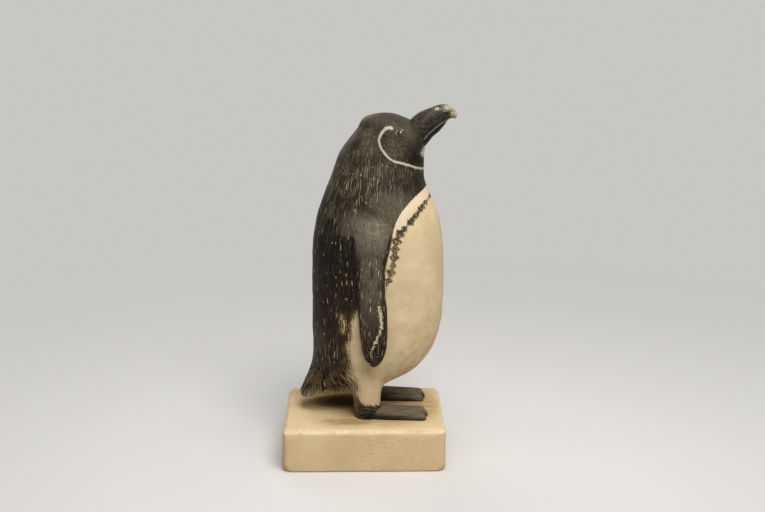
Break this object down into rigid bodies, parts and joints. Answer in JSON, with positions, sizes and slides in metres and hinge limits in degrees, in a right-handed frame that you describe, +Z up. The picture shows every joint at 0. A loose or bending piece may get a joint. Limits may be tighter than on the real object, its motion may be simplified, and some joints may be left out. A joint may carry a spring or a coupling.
{
  "type": "penguin figurine",
  "caption": "Carved and painted wooden penguin with a raised hooked bill and hanging flippers, standing on a cream painted wooden block, as a shelf ornament.",
  "frame": {"origin": "centre of the block's underside", "axes": "+X the way the bird faces, +Y its left, +Z up"},
  "size_m": [0.0796, 0.0625, 0.1634],
  "materials": {
    "cream_paint": "matt cream paint on wood, rubbed at the edges",
    "charcoal_paint": "matt charcoal paint on wood with fine light feather strokes",
    "bare_wood": "bare turned wood",
    "dark_glass": "polished, almost black",
    "steel": "plain steel",
    "putty": "matt hardened putty under paint"
  },
  "bodies": {
    "root": {"base_block": "cream_paint", "body": "cream_paint", "head": "charcoal_paint", "bill": "charcoal_paint", "neck_dowel": "bare_wood", "right_flipper": "charcoal_paint", "left_flipper": "charcoal_paint", "right_shoulder_peg": "bare_wood", "left_shoulder_peg": "bare_wood", "right_shoulder_plug": "putty", "left_shoulder_plug": "putty", "right_eye_bead": "dark_glass", "left_eye_bead": "dark_glass", "right_eye_wire": "steel", "left_eye_wire": "steel", "right_eye_putty": "putty", "left_eye_putty": "putty", "right_foot": "charcoal_paint", "left_foot": "charcoal_paint", "leg_screws": "steel"}
  },
  "joints": []
}
